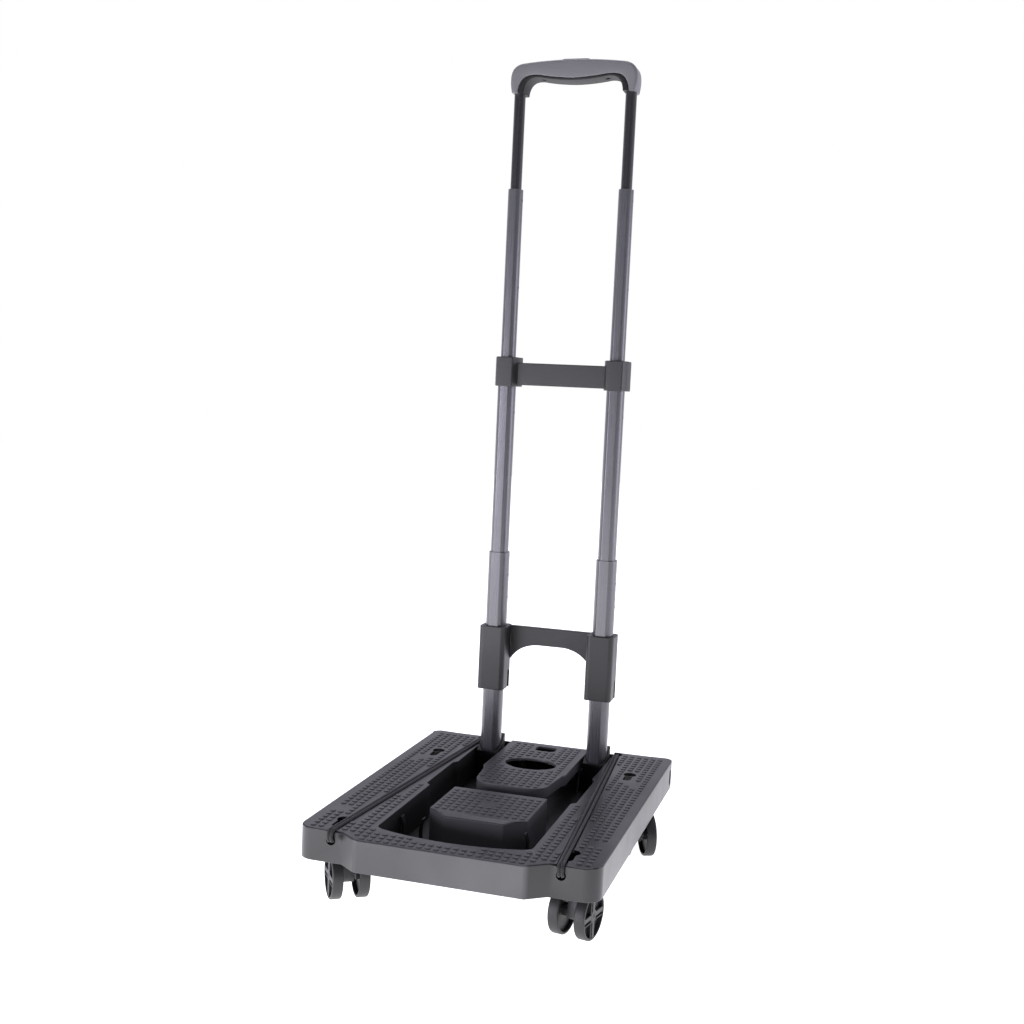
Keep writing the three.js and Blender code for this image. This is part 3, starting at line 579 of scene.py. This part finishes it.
def stud_lattice(x_span, y_span):
    """Every crossing of the pattern's rows and columns inside a span, at deck-top height."""
    columns = np.arange(np.ceil(x_span[0] / STUD_ACROSS - 0.5), x_span[1] / STUD_ACROSS - 0.5) * STUD_ACROSS
    rows = np.arange(np.ceil(y_span[0] / STUD_ALONG), y_span[1] / STUD_ALONG) * STUD_ALONG
    x, y = np.meshgrid(columns + STUD_ACROSS / 2, rows + 1.0, indexing="ij")
    return np.c_[x.ravel(), y.ravel(), np.zeros(x.size)]


def channel_middle(y):
    """The cord channel's middle, a straight line from (110, -1) to (80.5, 370)."""
    return 110.0 - 29.5 * (y + 1.0) / 371.0


def bay_half(y):
    """Half width of the bay beside y."""
    return np.interp(y, [171, 176, 258, 264], [75.5, 80.5, 80.5, 76.6])


def bay_front(x):
    """The bay's curved front rim: a parabola from 12.5 in the middle to 24 at its corners."""
    return 12.5 + 11.5 * np.minimum(np.abs(x) / 69.5, 1.0) ** 2


def clear_of_spot(points, x, y, reach_x, reach_y):
    """True outside an oval about (x, y)."""
    return ((points[:, 0] - x) / reach_x) ** 2 + ((points[:, 1] - y) / reach_y) ** 2 > 1.0


def clear_of_holes(points):
    """Clear of the key-shaped holes and of the smooth spots beside them."""
    side = np.abs(points) * [1, 0, 0] + points * [0, 1, 1]
    keep = np.ones(len(points), bool)
    for x, y, reach_x, reach_y in SMOOTH_SPOTS:
        keep &= clear_of_spot(side, x, y, reach_x, reach_y)
    return keep


lattice = stud_lattice((-144, 144), (-14, 378))
x_out, y_in = np.abs(lattice[:, 0]), lattice[:, 1]
beyond = channel_middle(y_in)
on_rail = (x_out > beyond + 8.2) & (x_out < 139.5) & (y_in > 5.5) & (y_in < 374)
bar_end = np.minimum(beyond - 8.0, 78 + 0.8 * (y_in + 14))
on_bar = (y_in > -9.5) & (y_in < bay_front(x_out) - 5.2) & (x_out < bar_end)
on_arm = (y_in >= 8.5) & (y_in < 370) & (x_out > bay_half(y_in) + 4.6) & (x_out < beyond - 7.6)
rail_studs = lattice[on_rail & clear_of_holes(lattice)]
bar_studs = lattice[on_bar | on_arm]
stud_field("rail_studs", rail_studs)
stud_field("bar_studs", bar_studs)

block_field = stud_lattice((-46, 46), (94, 175))
x_out, y_in = np.abs(block_field[:, 0]), block_field[:, 1]
on_block = (x_out < 45) & (y_in > 97.5) & (y_in < 173) & (x_out < 28 + (y_in - 90) * 1.5)
block_field = block_field[on_block & clear_of_spot(block_field, 0, 136, 13, 10)]
stud_field("block_studs", block_field)

cover_field = stud_lattice((-44, 44), (204, 372))
x_out, y_in = np.abs(cover_field[:, 0]), cover_field[:, 1]
cover_half = np.interp(y_in, [200, 210, 218, 259, 264, 376], [22, 36, 39.5, 44, 47, 47])
on_cover = (x_out < cover_half - 4.5) & (y_in > 206) & (y_in < 371.5)
on_cover &= clear_of_spot(cover_field, 0, 290, 34, 26) & ~((x_out < 16) & (np.abs(y_in - 355) < 13))
stud_field("cover_studs", cover_field[on_cover])
print("studs", len(rail_studs), len(bar_studs), len(block_field), int(on_cover.sum()))

# %% [markdown]
# ## Poles
# Four tubes a side slide in one another. Their CAD shape is right, with flat front and back facets, bowed
# sides and small lock holes, so each is a copy with its long corners rounded a little. The slider, the
# bracket and the end fittings are mouldings with larger roundings.

# %% Tubes, slider, bracket and end fittings
TUBES = (("lower", "a", 0.7, "handle_base", tube_lacquer), ("second", "b", 0.6, "stage_b", tube_lacquer),
         ("third", "c", 0.5, "stage_c", tube_lacquer), ("top", "d", 0.5, "stage_d", top_tube_lacquer))


def long_edges(middle, along):
    """The whole width on a tube's own long corners, and none round its small holes."""
    return 1.0 if abs(along.z) > 0.98 * along.length and along.length > 0.02 else 0.0


for side in ("left", "right"):
    for rank, letter, width, body, lacquer in TUBES:
        softened(f"{rank}_tube_{side}", f"tube_{letter}_{side}", width, body, lacquer,
                 weigh=long_edges)
    softened(f"end_fitting_{side}", f"knuckle_{side}", 0.6, "handle_base", inner_plastic)
softened("slider_moulding", "lock_slider", 0.8, "lock_slider", bracket_plastic,
         shortest=0.004)
softened("bracket_moulding", "upper_bracket", 1.0, "stage_b", bracket_plastic,
         shortest=0.004)
print("poles copied")

# %% [markdown]
# ## Grip
# The grip is two shells: an upper one that bends down into both sockets, and a darker lower one screwed to
# it from below. Each is a rounded section carried along the arch between an outer and an inner line.
# Both lines are chains of quadratic curves, resampled to equal steps, so that the skin is even.

# %% Grip shells
GRIP_LOW = 740.0
HANDLE_Y = 342.0
SCREW_X = 36


def chain(knots, steps=24):
    """Quadratic curves end to end: start, then control and end points in turn, as (n, 2)."""
    t = np.linspace(0, 1, steps, endpoint=False)[:, None]
    runs = []
    for start, control, end in zip(knots[0:-2:2], knots[1:-1:2], knots[2::2]):
        a, b, c = (np.asarray(p, float) for p in (start, control, end))
        runs.append((1 - t) ** 2 * a + 2 * t * (1 - t) * b + t * t * c)
    return np.concatenate([*runs, np.asarray(knots[-1], float)[None]])


def even_steps(line, count):
    """The same line at equal distances."""
    gone = np.r_[0, np.cumsum(np.hypot(*np.diff(line, axis=0).T))]
    want = np.linspace(0, gone[-1], count)
    return np.c_[np.interp(want, gone, line[:, 0]), np.interp(want, gone, line[:, 1])]


def mirrored(half):
    """A left half that ends on the middle line, with its mirror image after it."""
    return np.concatenate([half, half[-2::-1] * [-1, 1]])


def arch_shell(name, outer, inner, half_depth, outer_round, inner_round, count=150):
    """A rounded rectangle carried along the arch: across it goes from the inner to the outer line."""
    outer, inner = even_steps(outer, count), even_steps(inner, count)
    thick = np.hypot(*(outer - inner).T)
    a = np.linspace(0, pi / 2, 6)
    corners = []
    for reach_s, reach_y, turn, r in ((1, 1, 0, outer_round), (0, 1, 1, inner_round),
                                      (0, -1, 2, inner_round), (1, -1, 3, outer_round)):
        angle = a + turn * pi / 2
        corners.append(np.c_[np.full(6, reach_s), r * (np.cos(angle) + (-1 if reach_s else 1)),
                             reach_y * (half_depth - r) + r * np.sin(angle)])
    section = np.concatenate(corners)
    share = section[None, :, 0] + section[None, :, 1] / thick[:, None]
    across = inner[:, None, :] + (outer - inner)[:, None, :] * share[..., None]
    deep = np.broadcast_to(section[None, :, 2], share.shape) + HANDLE_Y
    rings = np.stack([across[..., 0], deep, across[..., 1]], -1)
    points, quads = capped(rings)
    return piece_of(name, points, quads, sharp_angle=50)


g = GRIP_LOW
outer_half = chain([(-69.5, g), (-71.5, g + 8), (-71, g + 16), (-70.5, g + 28.5), (-58, g + 31),
                    (-30, g + 34.5), (0, g + 34.5)])
seam_half = chain([(-62.5, g), (-61.5, g + 13), (-53, g + 17), (-46, g + 19.5), (-36, g + 18),
                   (-18, g + 15), (0, g + 14.5)])
under_half = chain([(-55.5, g), (-54.8, g + 11), (-47.5, g + 14.6), (-42, g + 16.8), (-34, g + 15),
                    (-17, g + 12.2), (0, g + 12)])
lower_outer = seam_half + np.array([0.3, -0.3])
grip_top = arch_shell("grip_top_shell", mirrored(outer_half), mirrored(seam_half), 13.5, 3.2, 0.6)
grip_under = arch_shell("grip_lower_shell", mirrored(lower_outer), mirrored(under_half), 12.6, 0.4, 1.4)
finish_piece(grip_top, "stage_d", grip_plastic, ["grip_top"])
finish_piece(grip_under, "stage_d", inner_plastic, ["grip_bottom"])


def hollowed(thing, cutters):
    """The piece less each cutter, worked out exactly; the cutters are then taken away."""
    for points, quads in cutters:
        tool = piece_of("cutter", points, quads)
        cut = thing.modifiers.new("opening", "BOOLEAN")
        cut.operation, cut.solver, cut.object = "DIFFERENCE", "EXACT", tool
        bpy.context.view_layer.update()
        opened = bpy.data.meshes.new_from_object(thing.evaluated_get(bpy.context.evaluated_depsgraph_get()))
        thing.modifiers.clear()
        thing.data = opened
        bpy.data.objects.remove(tool)
    thing.data.set_sharp_from_angle(angle=radians(50))


print("grip shells", len(grip_top.data.vertices), len(grip_under.data.vertices))

# %% [markdown]
# The push button is a stadium-shaped cap with a rounded rim and a slight crown. It is a stack of rings,
# each a stadium drawn in a little more than the one below. Two plainer stacks open the upper shell for the
# button and the lower shell for its screws.

# %% Push button
def stadium(half_long, half_wide, r, around=64):
    """Points of a rounded rectangle at equal angles of its corner arcs."""
    a = np.linspace(0, 2 * pi, around, endpoint=False)
    return np.c_[np.sign(np.cos(a)) * (half_long - r) + r * np.cos(a),
                 np.sign(np.sin(a)) * (half_wide - r) + r * np.sin(a)]


def ring_stack(levels, half_long, half_wide, r):
    """A closed stack of rounded rectangles about the handle's plane, from (inset, height) levels."""
    rings = []
    for inset, z in levels:
        flat = stadium(half_long - inset, half_wide - inset, max(r - inset, 0.4))
        rings.append(np.c_[flat[:, 0], flat[:, 1] + HANDLE_Y, np.full(len(flat), z)])
    return capped(np.array(rings))


button_levels = [(0, g + 31), (0, g + 35.4), (0.3, g + 36.1), (0.9, g + 36.5), (2.2, g + 36.7),
                 (4.0, g + 36.8)]
button = piece_of("push_button", *ring_stack(button_levels, 17, 6, 5.6), sharp_angle=60)
hollowed(grip_top, [ring_stack([(0, g + 26), (0, g + 45)], 17.5, 6.5, 6.0)])
screw_ways = []
for side in (-1, 1):
    points, quads = ring_stack([(0, g + 5), (0, g + 19.5)], 2.5, 2.5, 2.45)
    screw_ways.append((points + [side * SCREW_X, 0, 0], quads))
hollowed(grip_under, screw_ways)
finish_piece(button, "button", inner_plastic, ["release_button"])
print("button made")

# %% [markdown]
# ## Casters
# Each caster has two wheels. A wheel is turned: its outline goes round the axle, with a flat tread, softly
# rounded shoulders and a deep dish. One thick and one thin rib run each way across the dish, and a round
# cap covers the axle.

# %% Wheels
WHEEL_R, WHEEL_HALF, RIM_IN, WEB = 23.0, 5.3, 20.4, 1.2
RIBS = ((0.0, 2.3), (-5.2, 0.7))
CASTERS = {"front_left": (-119, 55, 35), "front_right": (119, 55, -11), "rear_left": (-119, 284, 205),
           "rear_right": (119, 284, 25)}
CASTER_TRAIL, WHEEL_OUT, AXLE_Z = 15.0, 13.0, WHEEL_R - DECK_HEIGHT


def turned(outline, around=96):
    """An outline of (radius, distance along X) pairs turned about X, closed on itself."""
    a = np.linspace(0, 2 * pi, around, endpoint=False)
    r, x = np.asarray(outline, float).T
    rings = np.stack([np.broadcast_to(x[:, None], (len(x), around)),
                      r[:, None] * np.cos(a), r[:, None] * np.sin(a)], -1)
    return rings.reshape(-1, 3), grid_quads(len(x), around, wrap_rows=True)


def chamfered_bar(x0, x1, half_wide, half_long, chamfer=0.4):
    """A straight rib along Z whose outer edges are cut at 45 degrees."""
    rings = []
    for x, inset in ((x0, 0), (x1 - chamfer, 0), (x1, chamfer)):
        w = half_wide - inset
        rings.append([(x, -w, -half_long), (x, w, -half_long), (x, w, half_long), (x, -w, half_long)])
    points = np.array(rings, float).reshape(-1, 3)
    quads = np.concatenate([grid_quads(3, 4), [[3, 2, 1, 0], [8, 9, 10, 11]]])
    return points, quads


def wheel_shape():
    """The turned body, four ribs and the axle cap of a wheel whose outer face looks along +X."""
    e, s = WHEEL_HALF, 1.5
    a = np.linspace(0, pi / 2, 5)
    shoulder_in = np.c_[WHEEL_R - s + s * np.sin(a), -e + s - s * np.cos(a)]
    shoulder_out = np.c_[WHEEL_R - s + s * np.cos(a), e - s + s * np.sin(a)]
    body = np.concatenate([[(0.01, -e), (6, -e), (6, -WEB), (RIM_IN - 0.4, -WEB),
                            (RIM_IN, -e + 0.5), (RIM_IN + 0.5, -e)],
                           shoulder_in, shoulder_out,
                           [(RIM_IN + 0.5, e), (RIM_IN, e - 0.5), (RIM_IN - 0.4, WEB), (0.01, WEB)]])
    parts = [turned(body)]
    for across, half_wide in RIBS:
        points, quads = chamfered_bar(0.2, e - 0.4, half_wide, RIM_IN + 0.3)
        points = points + [0, across, 0]
        parts.append((points, quads))
        parts.append((points[:, [0, 2, 1]] * [1, -1, 1], quads))
    cap = [(0.01, 0.5), (5.6, 0.5), (5.6, e - 0.7), (5.1, e - 0.3), (3.2, e - 0.3), (2.8, e - 0.9),
           (0.01, e - 0.9)]
    parts.append(turned(cap, 40))
    return gather(parts)


def turned_by(points, degrees):
    """Points swivelled about the upright axis."""
    c, s = cos(radians(degrees)), sin(radians(degrees))
    return points @ np.array([[c, s, 0], [-s, c, 0], [0, 0, 1]])


wheel_points, wheel_faces = wheel_shape()
for place, (x, y, angle) in CASTERS.items():
    for letter, out in (("a", -1), ("b", 1)):
        points = wheel_points * [out, out, 1] + [out * WHEEL_OUT, -CASTER_TRAIL, AXLE_Z]
        points = turned_by(points, angle) + [x, y, 0]
        wheel = piece_of(f"twin_wheel_{place}_{letter}", points, wheel_faces, sharp_angle=32)
        cad_wheel = f"wheel_{place}_{letter}"
        finish_piece(wheel, cad_wheel, wheel_plastic, [cad_wheel])
    softened(f"swivel_body_{place}", f"caster_body_{place}", 0.7, f"caster_{place}",
             caster_plastic)
print("wheels", len(wheel_faces))

# %% [markdown]
# ## Elastic cords
# Each rail carries a doubled elastic cord: it comes out of the rail's front face, turns over the edge,
# lies in its channel and drops into a hole at the rear. Both ends are held, so it is an ordinary piece.
# A strand is a round section carried along the route; its braid is a ripple of the radius that winds both
# ways, and a UV map along the strand carries the thread pattern.

# %% Cords
CORD_ROUTE = np.array([
    (110, 8, -10), (110, 2, -10), (110, -1.4, -9.2), (110, -2.7, -7), (110, -2.7, -3.4), (109.9, -2.1, -0.9),
    (109.7, 0.8, 0.6), (109.2, 8, 0.5), (105.9, 50, 0.4), (98, 150, 0.4), (90, 250, 0.4), (84.5, 320, 0.4),
    (81.1, 362, 0.5), (80.8, 366.6, -0.3), (80.6, 369.3, -2.8), (80.5, 370.4, -7), (80.5, 370.4, -14)], float)
STRAND_R = 1.6
STRAND_APART, STRAND_SPREAD = 1.6, 0.55
SIDEWAYS = np.array([0.997, 0.079, 0.0])
THREAD_PITCH = 2.2


def smooth_line(knots, count):
    """A centripetal curve through the knots: knot times grow with the root of each gap; evenly resampled."""
    padded = np.concatenate([[2 * knots[0] - knots[1]], knots, [2 * knots[-1] - knots[-2]]])
    gaps = np.sqrt(np.linalg.norm(np.diff(padded, axis=0), axis=1))
    times = np.r_[0, np.cumsum(gaps)]
    runs = []
    for i in range(len(knots) - 1):
        p0, p1, p2, p3 = padded[i:i + 4]
        t0, t1, t2, t3 = times[i:i + 4]
        t = np.linspace(t1, t2, 40, endpoint=False)[:, None]
        a1 = (t1 - t) / (t1 - t0) * p0 + (t - t0) / (t1 - t0) * p1
        a2 = (t2 - t) / (t2 - t1) * p1 + (t - t1) / (t2 - t1) * p2
        a3 = (t3 - t) / (t3 - t2) * p2 + (t - t2) / (t3 - t2) * p3
        b1 = (t2 - t) / (t2 - t0) * a1 + (t - t0) / (t2 - t0) * a2
        b2 = (t3 - t) / (t3 - t1) * a2 + (t - t1) / (t3 - t1) * a3
        runs.append((t2 - t) / (t2 - t1) * b1 + (t - t1) / (t2 - t1) * b2)
    line = np.concatenate([*runs, knots[-1:]])
    gone = np.r_[0, np.cumsum(np.linalg.norm(np.diff(line, axis=0), axis=1))]
    want = np.linspace(0, gone[-1], count)
    return np.stack([np.interp(want, gone, line[:, k]) for k in range(3)], -1), gone[-1]


def strand(name, line, length, around=20):
    """Frames are square to the line; radius ripples with the sum of two opposite windings."""
    along = np.gradient(line, axis=0)
    along /= np.linalg.norm(along, axis=1, keepdims=True)
    across = np.cross(along, [1.0, 0.0, 0.0])
    across /= np.linalg.norm(across, axis=1, keepdims=True)
    other = np.cross(along, across)
    a = np.linspace(0, 2 * pi, around, endpoint=False)[None, :]
    run = np.linspace(0, length, len(line))[:, None]
    ripple = 0.05 * np.cos(5 * a + run * 1.6) * np.cos(5 * a - run * 1.6)
    r = (STRAND_R * (0.97 + ripple))[..., None]
    rings = line[:, None, :] + r * (np.cos(a)[..., None] * across[:, None, :]
                                    + np.sin(a)[..., None] * other[:, None, :])
    points, quads = capped(rings)
    made = piece_of(name, points, quads, sharp_angle=60)
    corner = np.zeros(len(made.data.loops), np.int64)
    made.data.loops.foreach_get("vertex_index", corner)
    level, column = corner // around, corner % around
    layer = made.data.uv_layers.new(name="along")
    wrap = column + around * ((column == 0) & (np.arange(len(corner)) % 4 % 3 != 0))
    uv = np.c_[level * (length / len(line) / THREAD_PITCH), wrap / around]
    layer.data.foreach_set("uv", uv.astype(np.float32).ravel())
    return made


line, length = smooth_line(CORD_ROUTE, 520)
share = np.linspace(0, 1, len(line))[:, None]
spread = STRAND_APART + STRAND_SPREAD * np.sin(pi * share) ** 2
for side_name, side in (("left", -1), ("right", 1)):
    for letter, hand in (("inner", -1), ("outer", 1)):
        offset = line + hand * spread * SIDEWAYS
        made = strand(f"cord_strand_{side_name}_{letter}", offset * [side, 1, 1], length)
        if side < 0:
            made.data.flip_normals()
        nodes = [f"cord_{side_name}"] if hand > 0 else []
        finish_piece(made, "deck", cord_sheath, nodes)
print("cord route", round(length, 1), "mm")

# %% [markdown]
# ## Pieces kept from the CAD
# Pins, plugs, stems, axles, rods and screws are mostly hidden. Their CAD shape is right as it is, so they
# stay, and only take a better finish.

# %% Finishes of the kept nodes
KEPT = {"pivot_pin": steel, "guide_plug": inner_plastic, "caster_socket": inner_plastic, "caster_stem": steel,
        "caster_axle": steel, "release_rod": steel, "release_yoke": inner_plastic, "grip_screw": steel,
        "button_spring": steel}
kept = 0
for name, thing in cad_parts.items():
    for start, material in KEPT.items():
        if name.startswith(start):
            thing.data.materials.clear()
            thing.data.materials.append(material)
            kept += 1
print("kept nodes", kept)
